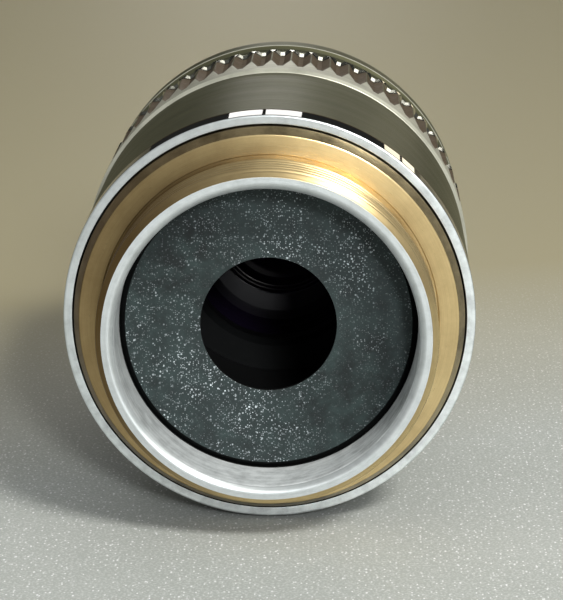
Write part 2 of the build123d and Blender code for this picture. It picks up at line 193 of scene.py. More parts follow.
# Crystals in the black disc, painted bright in place of their glints: cells in a metre, reach in a cell, how
# rare they are, brightness
crystal_glint_sizes = ((2600.0, 0.21, 0.66, 1.0), (4600.0, 0.30, 0.58, 1.0), (9500.0, 0.40, 0.45, 0.8))
# Glints on the bench: cells in a metre, reach in a cell, how rare they are
glint_sizes = ((1500.0, 0.13, 0.50), (2700.0, 0.18, 0.40))

# Meshes
ring_columns = 256
# A rounded corner takes up to this share of each side, and has a guard point a little beyond its curve
corner_share = 0.3
corner_guard = 1.5
corner_steps = 3
groove_flank_steps = 6
grip_round_steps = 8
spring_steps = 96
wire_sides = 12
# Metres between points that become one
same_point = 1e-8
sector_join = 1e-6

# Stage
bench_gap = 0.02
bench_reach = 900
bench_rear = -400
bench_front = 2500
ground_reach = 600
ground_z = -0.02

# Photograph's camera, from fitting the rings: millimetres and pixels, and the axis as the camera sees it
photo_height = 600
focal_pixels = 2712
rim_from_camera = Vector((-0.885, -2.39, -159.1))
axis_from_camera = Vector((0.026, 0.2333, -0.972))
sensor = 36
nearest_shown = 5
farthest_shown = 10000

# A corner of an outline: its radius, its height and how far it is rounded. finish numbers the finish of the
# piece that runs on to the next corner, and rows says how many faces long that piece is.
Corner = namedtuple("Corner", "r z round finish rows", defaults=(0.04, 0, 1))
Place = namedtuple("Place", "source x y z across turn")


def feed(tree, value, socket):
    """Sets a socket to a number or a colour, or links another socket to it."""
    if isinstance(value, tuple):
        socket.default_value = (*value, 1)
    elif isinstance(value, (int, float)):
        socket.default_value = value
    else:
        tree.links.new(value, socket)


def maths_in(tree, operation, *values):
    """The result of a maths node that is fed with sockets or numbers."""
    node = tree.nodes.new("ShaderNodeMath")
    node.operation = operation
    for value, socket in zip(values, node.inputs):
        feed(tree, value, socket)
    return node.outputs[0]


def split_in(tree, vector):
    """The three parts of a vector."""
    node = tree.nodes.new("ShaderNodeSeparateXYZ")
    tree.links.new(vector, node.inputs[0])
    return node.outputs


def joined_in(tree, *parts):
    """A vector made from three sockets or numbers."""
    node = tree.nodes.new("ShaderNodeCombineXYZ")
    for part, socket in zip(parts, node.inputs):
        feed(tree, part, socket)
    return node.outputs[0]


def across_in(tree, x, y):
    """How far a point lies from the optical axis."""
    squares = [maths_in(tree, "MULTIPLY", part, part) for part in (x, y)]
    return maths_in(tree, "SQRT", maths_in(tree, "ADD", *squares))


def material(name):
    """An empty material and its surface shader."""
    made = bpy.data.materials.new(name)
    made.use_nodes = True
    return made, made.node_tree.nodes["Principled BSDF"]


def add(made, kind, **values):
    """One node of a material, with its properties set by name."""
    node = made.node_tree.nodes.new(kind)
    for key, value in values.items():
        setattr(node, key, value)
    return node


def link(made, source, target):
    made.node_tree.links.new(source, target)


def maths(made, operation, *values):
    return maths_in(made.node_tree, operation, *values)


def place(made):
    """Where a point lies: its coordinates, its radius from the optical axis and its angle round it."""
    source = add(made, "ShaderNodeTexCoord").outputs["Object"]
    x, y, z = split_in(made.node_tree, source)
    across = across_in(made.node_tree, x, y)
    turn = maths(made, "ARCTAN2", y, x)
    return Place(source, x, y, z, across, turn)


def noise(made, vector, scale=1.0, detail=4.0, roughness=0.6):
    """A cloudy grey. The scale is in clouds per metre on object coordinates."""
    node = add(made, "ShaderNodeTexNoise")
    node.inputs["Scale"].default_value = scale
    node.inputs["Detail"].default_value = detail
    node.inputs["Roughness"].default_value = roughness
    link(made, vector, node.inputs["Vector"])
    return node.outputs["Fac"]


def ramp(made, source, stops):
    """A colour or grey that follows a value: stops are (position, grey or colour)."""
    node = add(made, "ShaderNodeValToRGB")
    link(made, source, node.inputs[0])
    elements = node.color_ramp.elements
    while len(elements) < len(stops):
        elements.new(0.5)
    for element, (position, shade) in zip(elements, stops):
        element.position = position
        tone = (shade,) * 3 if isinstance(shade, (int, float)) else shade
        element.color = (*tone, 1)
    return node.outputs["Color"]


def mixed(made, share, low, high):
    """Two colours mixed by a share."""
    node = add(made, "ShaderNodeMix", data_type="RGBA")
    for slot, value in ((0, share), (6, low), (7, high)):
        feed(made.node_tree, value, node.inputs[slot])
    return node.outputs[2]


def bump(made, shader, height, strength, depth):
    """Fine relief in the shading. The depth is in millimetres."""
    node = add(made, "ShaderNodeBump")
    node.inputs["Strength"].default_value = strength
    node.inputs["Distance"].default_value = depth * MM
    link(made, height, node.inputs["Height"])
    link(made, node.outputs[0], shader.inputs["Normal"])


def facing_side(made, turn, side):
    """How far a point faces a side, given in radians: 1 on that side and -1 on the far one."""
    return maths(made, "COSINE", maths(made, "SUBTRACT", turn, side))


def speckles(made, vector, cells_per_m, reach, rare, core, fade, dimensions="3D"):
    """Soft bright specks, one in each chosen cell: a larger rare leaves more of the cells empty."""
    pattern = add(made, "ShaderNodeTexVoronoi", voronoi_dimensions=dimensions)
    pattern.inputs["Scale"].default_value = cells_per_m
    link(made, vector, pattern.inputs["Vector"])
    near = ramp(made, pattern.outputs["Distance"], [(reach * core, 1.0), (reach, 0.0)])
    pick = add(made, "ShaderNodeSeparateColor")
    link(made, pattern.outputs["Color"], pick.inputs[0])
    chosen = ramp(made, pick.outputs[0], [(rare, 0.0), (rare + fade, 1.0)])
    return maths(made, "MULTIPLY", near, chosen)


def lathe_lines(made, lines_per_mm):
    """Turning marks: rings round the axis, on end faces and on round sides alike."""
    at = place(made)
    fine = lines_per_mm / MM
    around = joined_in(made.node_tree, maths(made, "SINE", at.turn), maths(made, "COSINE", at.turn), 0)
    drift = maths(made, "MULTIPLY", noise(made, around, scale=3.0, detail=2.0), line_wander)
    vector = joined_in(
        made.node_tree,
        maths(made, "ADD", maths(made, "MULTIPLY", at.across, fine), drift),
        maths(made, "MULTIPLY", at.z, fine),
        maths(made, "MULTIPLY", drift, 2.0),
    )
    return noise(made, vector, detail=5.0, roughness=0.7)


def tarnish_and_shade_share(made, at, strength):
    """How far one side of a ring is darkened to a tarnished brown, which is also painted shade on the side
    away from the lamps: more in the thread, less on the seat and the flange.
    """
    side = ramp(made, facing_side(made, at.turn, tarnish_shade_turn), [(0.0, 0.0), (0.85, 1.0)])
    # 20 mm from the axis is 1 on this ramp, so its stops are at 10.14 and 10.3 mm
    reach = maths(made, "MULTIPLY", at.across, 50.0)
    share = ramp(made, reach, [(0.507, strength), (0.515, strength * seat_tarnish_shade)])
    return maths(made, "MULTIPLY", side, share)


def turned_metal(
    name, colour, dark, roughness, lines_per_mm, depth, line_share=0.35, patches=0.35, patch_scale=420.0,
    metallic=1.0, stretch=0.0, tarnish_and_shade=0.0, painted_shade_side=None,
):
    """Metal as it comes off the lathe: fine rings, a tarnished brown on one side that is also painted shade,
    and uneven gloss.

    The depth of the rings is in millimetres. line_share and patches say how much of the dark colour the
    rings and the blotches show, and stretch draws reflections out. painted_shade_side is a side, as an angle
    in degrees, and how dark the metal is painted there as shade.
    """
    made, shader = material(name)
    shader.inputs["Metallic"].default_value = metallic
    if stretch:
        shader.inputs["Anisotropic"].default_value = stretch
        shader.inputs["Anisotropic Rotation"].default_value = 0.25
        tangent = add(made, "ShaderNodeTangent", direction_type="RADIAL", axis="Z")
        link(made, tangent.outputs[0], shader.inputs["Tangent"])
    at = place(made)
    rings = lathe_lines(made, lines_per_mm)
    blotch = noise(made, at.source, patch_scale, detail=6.0, roughness=0.65)
    base = mixed(made, ramp(made, blotch, [(0.42, 0.0), (0.75, patches)]), colour, dark)
    base = mixed(made, ramp(made, rings, [(0.3, 0.0), (0.7, line_share)]), base, dark)
    # A tarnished brown on one side, which is also painted shade there
    if tarnish_and_shade:
        base = mixed(made, tarnish_and_shade_share(made, at, tarnish_and_shade), base, TARNISH_SHADE_BROWN)
    # Painted shade: one side of the ring is made darker, where less light falls on it
    if painted_shade_side:
        side, strength = painted_shade_side
        facing = facing_side(made, at.turn, math.radians(side))
        base = mixed(made, ramp(made, facing, [(0.1, 0.0), (0.95, strength)]), base, dark)
    link(made, base, shader.inputs["Base Color"])
    gloss = ramp(made, rings, [(0.25, roughness * marks_smooth), (0.8, roughness * marks_rough)])
    link(made, gloss, shader.inputs["Roughness"])
    bump(made, shader, rings, strength=0.5, depth=depth)
    return made


def mirror_metal(name, colour, roughness):
    """Polished plating with faint rubbing marks."""
    made, shader = material(name)
    shader.inputs["Metallic"].default_value = 1.0
    shader.inputs["Base Color"].default_value = (*colour, 1)
    rings = lathe_lines(made, rubbing_lines_per_mm)
    gloss = ramp(made, rings, [(0.35, roughness), (0.8, roughness * rubbing_rough)])
    link(made, gloss, shader.inputs["Roughness"])
    return made


def black_gloss(name):
    """Black enamel with a clear gloss: dark unless a window stands in it."""
    made, shader = material(name)
    shader.inputs["Base Color"].default_value = (*ENAMEL, 1)
    shader.inputs["Roughness"].default_value = 0.02
    shader.inputs["IOR"].default_value = 1.35
    return made


def fleck_black(name):
    """Matte black with tiny crystals painted bright as glints, and a painted sheen: paler, with more glints,
    towards two opposite sides and near the hole.
    """
    made, shader = material(name)
    at = place(made)
    shade = ramp(made, noise(made, at.source, 900.0, detail=5.0), [(0.35, 0.0), (0.68, 1.0)])
    base = mixed(made, shade, STOP_BLACK, STOP_GREY)
    drifts = ramp(made, noise(made, at.source, 330.0, detail=3.0), [(0.40, 0.15), (0.62, 1.0)])
    # Painted sheen: the disc is paler, and more of its glints show, towards two opposite sides and near the
    # hole
    slant = maths(made, "SUBTRACT", maths(made, "MULTIPLY", at.x, 0.6), maths(made, "MULTIPLY", at.y, 0.8))
    # A slant of 7.7 mm and a radius of 10 mm are 1 on the next two ramps
    aside = maths(made, "MULTIPLY", maths(made, "ABSOLUTE", slant), 130.0)
    sides = ramp(made, aside, [(0.2, 0.15), (0.75, 1.0)])
    close = ramp(made, maths(made, "MULTIPLY", at.across, 100.0), [(0.46, 1.0), (0.74, 0.45)])
    sheen = maths(made, "MULTIPLY", sides, close)
    base = mixed(made, maths(made, "MULTIPLY", sheen, 0.5), base, STOP_SHEEN)
    shown = maths(made, "ADD", maths(made, "MULTIPLY", sheen, 0.85), 0.15)
    drifts = maths(made, "MULTIPLY", drifts, shown)
    for cells_per_m, reach, rare, tone in crystal_glint_sizes:
        spots = speckles(made, at.source, cells_per_m, reach, rare, core=0.5, fade=0.3)
        share = maths(made, "MULTIPLY", spots, maths(made, "MULTIPLY", drifts, tone))
        base = mixed(made, share, base, CRYSTAL_GLINT)
    link(made, base, shader.inputs["Base Color"])
    shader.inputs["Roughness"].default_value = 0.62
    shader.inputs["Specular IOR Level"].default_value = 0.32
    bump(made, shader, noise(made, at.source, 5200.0, detail=3.0), strength=0.35, depth=0.03)
    return made


def dark_metal(name):
    """Blackened brass inside the barrel."""
    made, shader = material(name)
    shader.inputs["Metallic"].default_value = 0.4
    grain = noise(made, place(made).source, 2500.0)
    link(made, mixed(made, grain, BLACKENED_DARK, BLACKENED), shader.inputs["Base Color"])
    shader.inputs["Roughness"].default_value = 0.6
    shader.inputs["Specular IOR Level"].default_value = 0.2
    bump(made, shader, grain, strength=0.2, depth=0.02)
    return made


def tube_metal(name, dark_r):
    """Bright metal outside a radius, blackened inside it."""
    made = turned_metal(name, **chrome_look)
    shader = made.node_tree.nodes["Principled BSDF"]
    outside = maths(made, "GREATER_THAN", place(made).across, dark_r * MM)
    outer = shader.inputs["Base Color"].links[0].from_socket
    link(made, mixed(made, outside, TUBE_BLACK, outer), shader.inputs["Base Color"])
    link(made, outside, shader.inputs["Metallic"])
    link(made, ramp(made, outside, [(0.0, 0.6), (1.0, 0.22)]), shader.inputs["Roughness"])
    return made


def coated_glass(name):
    """A coated lens: dark to look into, with a coloured reflection."""
    made, shader = material(name)
    facing = add(made, "ShaderNodeLayerWeight")
    facing.inputs["Blend"].default_value = 0.35
    tint = mixed(made, facing.outputs["Facing"], GLASS_PURPLE, GLASS_GREEN)
    link(made, tint, shader.inputs["Base Color"])
    shader.inputs["Roughness"].default_value = 0.03
    shader.inputs["IOR"].default_value = 1.6
    shader.inputs["Coat Weight"].default_value = 1.0
    shader.inputs["Coat Roughness"].default_value = 0.02
    return made


satin_look = dict(colour=OLIVE, dark=OLIVE_DARK, roughness=0.45, depth=0.006)
chrome_look = dict(colour=CHROME, dark=CHROME_DARK, roughness=0.2, lines_per_mm=8.0, depth=0.008)
turned_looks = {
    "thread_brass": dict(
        colour=BRASS, dark=BRASS_DARK, roughness=0.31, lines_per_mm=5.0, depth=0.02,
        stretch=0.55, tarnish_and_shade=0.85,
    ),
    "flange_brown": dict(
        colour=BROWN, dark=BROWN_DARK, roughness=0.32, lines_per_mm=5.0, depth=0.02,
        patches=0.9, stretch=0.3, tarnish_and_shade=1.0,
    ),
    # The rim, the bore and the end face below are painted darker on one side as shade
    "plated_rim": dict(
        colour=PLATE, dark=SILVER_DARK, roughness=0.42, lines_per_mm=5.0, depth=0.015,
        patches=0.6, patch_scale=1100.0, metallic=0.8, painted_shade_side=(130, 0.35),
    ),
    "bore_silver": dict(
        colour=BORE, dark=BORE_DARK, roughness=0.42, lines_per_mm=3.0, depth=0.06,
        patches=0.6, patch_scale=900.0, metallic=0.35, painted_shade_side=(180, 0.45),
    ),
    "sleeve_face": dict(
        colour=END_FACE, dark=SILVER_DARK, roughness=0.36, lines_per_mm=5.0, depth=0.015,
        patches=0.8, patch_scale=1100.0, metallic=0.8, painted_shade_side=(240, 0.62),
    ),
    "brown_line": dict(colour=LINE, dark=LINE_DARK, roughness=0.5, lines_per_mm=10.0, depth=0.01),
    "satin_barrel": dict(satin_look, lines_per_mm=9.0, line_share=0.12, patches=0.45, stretch=0.25),
    "knurl_face": dict(satin_look, colour=KNURL_FACE, lines_per_mm=6.0, line_share=0.15, metallic=0.7),
    # Groove flanks: dirt, and painted shade and dark reflection in the grooves
    "knurl_flank_dirt_shade": dict(
        colour=FLANK, dark=FLANK_DARK, roughness=0.6, lines_per_mm=6.0, depth=0.006,
        line_share=0.15, metallic=0.45,
    ),
    "spring_steel": dict(colour=STEEL, dark=STEEL_DARK, roughness=0.45, lines_per_mm=6.0, depth=0.01),
    "nose_metal": chrome_look,
}
finishes = {name: turned_metal(name, **look) for name, look in turned_looks.items()}
finishes.update(
    polished_band=black_gloss("polished_band"),
    grip_polish=mirror_metal("grip_polish", GRIP_POLISH, roughness=0.13),
    groove_end=mirror_metal("groove_end", GROOVE_END, roughness=0.10),
    stop_black=fleck_black("stop_black"),
    inner_black=dark_metal("inner_black"),
    carriage_metal=tube_metal("carriage_metal", carriage_dark_r),
    lens_glass=coated_glass("lens_glass"),
)


def softened(outline):
    """The closed outline with each corner rounded, and short straight pieces kept beside the curves."""
    points = []
    for index, corner in enumerate(outline):
        before, after = outline[index - 1], outline[(index + 1) % len(outline)]
        here = Vector((corner.r, corner.z))
        back = Vector((before.r, before.z)) - here
        on = Vector((after.r, after.z)) - here
        if corner.round == 0:
            points.append((here, corner.finish))
        else:
            reach = min(corner.round, back.length * corner_share, on.length * corner_share)
            start, end = here + back.normalized() * reach, here + on.normalized() * reach
            points.append((here + back.normalized() * reach * corner_guard, before.finish))
            for step in range(corner_steps + 1):
                t = step / corner_steps
                curve = start * (1 - t) ** 2 + here * 2 * t * (1 - t) + end * t**2
                points.append((curve, before.finish if t < 0.5 else corner.finish))
            points.append((here + on.normalized() * reach * corner_guard, corner.finish))
        for row in range(1, corner.rows):
            points.append((here + on * row / corner.rows, corner.finish))
    return points


def new_object(name, data):
    made = bpy.data.objects.new(name, data)
    bpy.context.scene.collection.objects.link(made)
    return made


def smoothed(mesh, angle=35):
    """Smooth shading, broken where faces meet at more than an angle in degrees."""
    mesh.polygons.foreach_set("use_smooth", [True] * len(mesh.polygons))
    mesh.set_sharp_from_angle(angle=math.radians(angle))
    mesh.update()


def turned(name, outline, used, shape=None, angles=None):
    """A closed outline turned about Z, whose corners number the finishes in used.

    shape moves points in or out, from their radius, height and angle. With angles the outline is turned
    through those only, and the ends of the sector stay open.
    """
    points = softened(outline)
    closed = angles is None
    if closed:
        angles = [FULL_TURN * column / ring_columns for column in range(ring_columns)]
    form = bmesh.new()
    rings = []
    for angle in angles:
        ring = []
        for point, _ in points:
            r = shape(point.x, point.y, angle) if shape else point.x
            ring.append(form.verts.new((r * math.cos(angle) * MM, r * math.sin(angle) * MM, point.y * MM)))
        rings.append(ring)
    spans = len(rings) if closed else len(rings) - 1
    for column in range(spans):
        here, there = rings[column], rings[(column + 1) % len(rings)]
        for row in range(len(points)):
            above = (row + 1) % len(points)
            face = form.faces.new((here[row], there[row], there[above], here[above]))
            face.material_index = points[row][1]
    bmesh.ops.remove_doubles(form, verts=form.verts, dist=same_point)
    if closed:
        bmesh.ops.recalc_face_normals(form, faces=form.faces)
    mesh = bpy.data.meshes.new(name)
    form.to_mesh(mesh)
    form.free()
    for finish in used:
        mesh.materials.append(finishes[finish])
    smoothed(mesh)
    return new_object(name, mesh)


class Tree:
    """A Geometry Nodes tree built by script, with named inputs."""

    def __init__(self, name, inputs):
        self.group = bpy.data.node_groups.new(name, "GeometryNodeTree")
        face = self.group.interface
        face.new_socket("Geometry", in_out="INPUT", socket_type="NodeSocketGeometry")
        face.new_socket("Geometry", in_out="OUTPUT", socket_type="NodeSocketGeometry")
        self.sockets = {}
        for label, kind in inputs.items():
            self.sockets[label] = face.new_socket(label, in_out="INPUT", socket_type=f"NodeSocket{kind}")
        self.start = self.node("NodeGroupInput")
        self.end = self.node("NodeGroupOutput")

    def node(self, kind, **values):
        made = self.group.nodes.new(kind)
        for key, value in values.items():
            setattr(made, key, value)
        return made

    def link(self, source, target):
        self.group.links.new(source, target)

    def maths(self, operation, *values):
        return maths_in(self.group, operation, *values)

    def given(self, label):
        return self.start.outputs[label]

    def position(self):
        """A point's coordinates and its distance from the optical axis."""
        x, y, z = split_in(self.group, self.node("GeometryNodeInputPosition").outputs[0])
        return x, y, z, across_in(self.group, x, y)

    def realized(self, geometry):
        """Geometry with its copies made real."""
        real = self.node("GeometryNodeRealizeInstances")
        self.link(geometry, real.inputs[0])
        return real.outputs[0]

    def paint(self, geometry, label, chosen=None):
        """Gives the chosen faces, or all of them, a material, and hands the geometry out."""
        paint = self.node("GeometryNodeSetMaterial")
        self.link(geometry, paint.inputs["Geometry"])
        if chosen is not None:
            self.link(chosen, paint.inputs["Selection"])
        self.link(self.given(label), paint.inputs["Material"])
        self.link(paint.outputs[0], self.end.inputs[0])

    def run(self, piece, values):
        """Puts the tree on a piece, and turns the result into a plain mesh."""
        modifier = piece.modifiers.new(self.group.name, "NODES")
        modifier.node_group = self.group
        for label, value in values.items():
            modifier[self.sockets[label].identifier] = value
        graph = bpy.context.evaluated_depsgraph_get()
        graph.update()
        result = bpy.data.meshes.new_from_object(piece.evaluated_get(graph))
        result.name = piece.name
        piece.modifiers.remove(modifier)
        old = piece.data
        piece.data = result
        bpy.data.meshes.remove(old)


def thread_tree():
    """Cuts a right-hand screw thread into the outside of a turned piece."""
    tree = Tree(
        "cut_thread",
        {"Outer radius": "Float", "Depth": "Float", "Pitch": "Float", "Front": "Float", "Brass": "Material"},
    )
    x, y, z, across = tree.position()
    turn = tree.maths("DIVIDE", tree.maths("ARCTAN2", y, x), FULL_TURN)
    phase = tree.maths("FRACT", tree.maths("SUBTRACT", tree.maths("DIVIDE", z, tree.given("Pitch")), turn))
    flank = tree.maths("ABSOLUTE", tree.maths("SUBTRACT", tree.maths("MULTIPLY", phase, 2), 1))
    rounded = tree.node("ShaderNodeMapRange", interpolation_type="SMOOTHSTEP")
    tree.link(flank, rounded.inputs["Value"])
    cut = tree.maths("MULTIPLY", rounded.outputs["Result"], tree.given("Depth"))
    thread = tree.maths("SUBTRACT", tree.given("Outer radius"), cut)
    lowest = tree.maths("SUBTRACT", tree.given("Outer radius"), tree.given("Depth"))
    outside = tree.maths("GREATER_THAN", across, lowest)
    behind = tree.maths("LESS_THAN", z, tree.given("Front"))
    chosen = tree.maths("MULTIPLY", outside, behind)
    share = tree.maths("DIVIDE", tree.maths("MINIMUM", across, thread), across)
    scaled = joined_in(tree.group, tree.maths("MULTIPLY", x, share), tree.maths("MULTIPLY", y, share), z)
    move = tree.node("GeometryNodeSetPosition")
    tree.link(tree.given("Geometry"), move.inputs["Geometry"])
    tree.link(chosen, move.inputs["Selection"])
    tree.link(scaled, move.inputs["Position"])
    tree.paint(tree.realized(move.outputs[0]), "Brass", chosen)
    return tree


def knurl_tree():
    """Sets copies of one groove's sector round the axis and joins them into one closed ring."""
    lengths = ("First angle", "Join distance", "Tip radius", "Rear", "Front")
    inputs = {"Teeth": "Int", **dict.fromkeys(lengths, "Float"), "Flanks": "Material"}
    tree = Tree("knurl_ring", inputs)
    points = tree.node("GeometryNodePoints")
    tree.link(tree.given("Teeth"), points.inputs["Count"])
    index = tree.node("GeometryNodeInputIndex")
    step = tree.maths("DIVIDE", FULL_TURN, tree.given("Teeth"))
    angle = tree.maths("ADD", tree.maths("MULTIPLY", index.outputs[0], step), tree.given("First angle"))
    copies = tree.node("GeometryNodeInstanceOnPoints")
    tree.link(points.outputs[0], copies.inputs["Points"])
    tree.link(tree.given("Geometry"), copies.inputs["Instance"])
    tree.link(joined_in(tree.group, 0, 0, angle), copies.inputs["Rotation"])
    merge = tree.node("GeometryNodeMergeByDistance")
    tree.link(tree.realized(copies.outputs[0]), merge.inputs["Geometry"])
    tree.link(tree.given("Join distance"), merge.inputs["Distance"])
    # Faces below the tooth tips in the grooved length take the dark brown: dirt, and painted shade in the
    # grooves
    _, _, z, across = tree.position()
    low = tree.maths("LESS_THAN", across, tree.given("Tip radius"))
    ahead = tree.maths("GREATER_THAN", z, tree.given("Rear"))
    behind = tree.maths("LESS_THAN", z, tree.given("Front"))
    chosen = tree.maths("MULTIPLY", tree.maths("MULTIPLY", ahead, behind), low)
    tree.paint(merge.outputs[0], "Flanks", chosen)
    return tree


def spring_tree():
    """A coil spring: a round wire along a spiral."""
    lengths = ("Turns", "Radius", "Height", "Wire", "Base")
    tree = Tree("coil_spring", {**dict.fromkeys(lengths, "Float"), "Steel": "Material"})
    spiral = tree.node("GeometryNodeCurveSpiral")
    spiral.inputs["Resolution"].default_value = spring_steps
    sources = {"Rotations": "Turns", "Start Radius": "Radius", "End Radius": "Radius", "Height": "Height"}
    for target, source in sources.items():
        tree.link(tree.given(source), spiral.inputs[target])
    circle = tree.node("GeometryNodeCurvePrimitiveCircle")
    circle.inputs["Resolution"].default_value = wire_sides
    tree.link(tree.given("Wire"), circle.inputs["Radius"])
    wire = tree.node("GeometryNodeCurveToMesh")
    tree.link(spiral.outputs[0], wire.inputs["Curve"])
    tree.link(circle.outputs[0], wire.inputs["Profile Curve"])
    wire.inputs["Fill Caps"].default_value = True
    move = tree.node("GeometryNodeTransform")
    tree.link(wire.outputs[0], move.inputs["Geometry"])
    tree.link(joined_in(tree.group, 0, 0, tree.given("Base")), move.inputs["Translation"])
    tree.paint(tree.realized(move.outputs[0]), "Steel")
    return tree


def add_mount():
    """The brass mount with its screw thread, plated on the rim and in the bore."""
    brass, plate, bore, brown, line = range(5)
    root = thread_r - undercut_depth
    rim_r = thread_r - thread_lead
    piece = turned(
        "mount_dressed",
        [
            Corner(rear_bore_r + rear_bore_bevel, 0, 0.14, plate),
            Corner(rim_r - rim_line, 0, 0.01, line),
            Corner(rim_r, rim_line, 0.02, brass, 6),
            Corner(thread_r, thread_lead, 0, brass, thread_rows),
            Corner(thread_r, seat_z - undercut_length - undercut_slope, 0, brass, 3),
            Corner(root, seat_z - undercut_length, 0.03, brass),
            Corner(root, seat_z + undercut_face_depth, 0.02, brass),
            Corner(seat_inner_r, seat_z + undercut_face_depth, 0.02, brass),
            Corner(seat_inner_r, seat_z, 0.03, brass, 4),
            Corner(seat_r, seat_z, 0.06, brown, 2),
            Corner(mount_r, seat_z + flange_taper, 0.04, brown),
            Corner(mount_r, flange_front, 0.03, brass),
            Corner(spigot_r, flange_front, 0.02, brass),
            Corner(spigot_r, mount_front, 0.05, line),
            Corner(mount_inner_r, mount_front, 0.03, line),
            Corner(mount_inner_r, stop_high.z, 0.02, line),
            Corner(rear_bore_r, stop_high.z, 0.02, line),
            Corner(rear_bore_r, stop_low.z, 0, bore, 8),
            Corner(rear_bore_r, rear_bore_bevel, 0.14, plate, 2),
        ],
        ("thread_brass", "plated_rim", "bore_silver", "flange_brown", "inner_black"),
    )
    thread_tree().run(
        piece,
        {
            "Outer radius": thread_r * MM,
            "Depth": thread_depth * MM,
            "Pitch": thread_pitch * MM,
            "Front": (seat_z - undercut_length) * MM,
            "Brass": finishes["thread_brass"],
        },
    )
    smoothed(piece.data, angle=60)
    return piece


def add_stop():
    """The fleck black disc with its sharp-edged hole, and a black chamfer round its rim as a painted shadow
    line.
    """
    outer = stop_high.x
    flecked, plain = range(2)
    return turned(
        "stop_dressed",
        [
            Corner(stop_hole_r, stop_low.z, 0.03, flecked, 6),
            # A black chamfer round the rim of the disc: a painted shadow line against the bore
            Corner(outer - stop_shadow_edge, stop_low.z, 0.03, plain),
            Corner(outer, stop_low.z + stop_shadow_edge, 0.03, plain),
            Corner(outer, stop_high.z, 0.03, plain),
            Corner(stop_hole_r + stop_bevel, stop_high.z, 0.03, plain),
            Corner(stop_hole_r, stop_low.z + stop_land, 0.02, plain),
        ],
        ("stop_black", "inner_black"),
    )


def add_barrel():
    """The outer sleeve: bright end face, polished band, thin line, satin barrel."""
    face, band, line, satin, inner = range(5)
    band_end = sleeve_rear + barrel_band
    return turned(
        "barrel_dressed",
        [
            Corner(recess_r, sleeve_rear, 0.05, face),
            Corner(sleeve_r, sleeve_rear, 0.10, band, 2),
            Corner(sleeve_r, band_end, 0.02, line),
            Corner(sleeve_r - barrel_line_depth, band_end + barrel_line_slope, 0.01, line),
            Corner(sleeve_r - barrel_line_depth, band_end + barrel_line, 0.01, line),
            Corner(sleeve_r, band_end + barrel_line + barrel_line_slope, 0.02, satin, 4),
            Corner(sleeve_r, barrel_front, 0.10, line),
            Corner(barrel_thread_r, barrel_front, 0.02, inner),
            Corner(barrel_thread_r, sleeve_high.z, 0.05, inner),
            Corner(guide_bore_r, sleeve_high.z, 0.03, inner),
            Corner(guide_bore_r, recess_front, 0.02, inner),
            Corner(recess_r, recess_front, 0.02, inner),
        ],
        ("sleeve_face", "polished_band", "brown_line", "satin_barrel", "inner_black"),
    )


def groove_depth(z):
    """How deep the grooves are at a height: a long run-out at the rear, full depth, then a short rise."""
    share = min(1.0, max(0.0, (z - grip_low.z - groove_start) / groove_runout))
    rise = max(0.0, (z - grip_low.z - knurl_length) / groove_end_slope + 1)
    return tooth_depth * (share - groove_end_rise * rise)


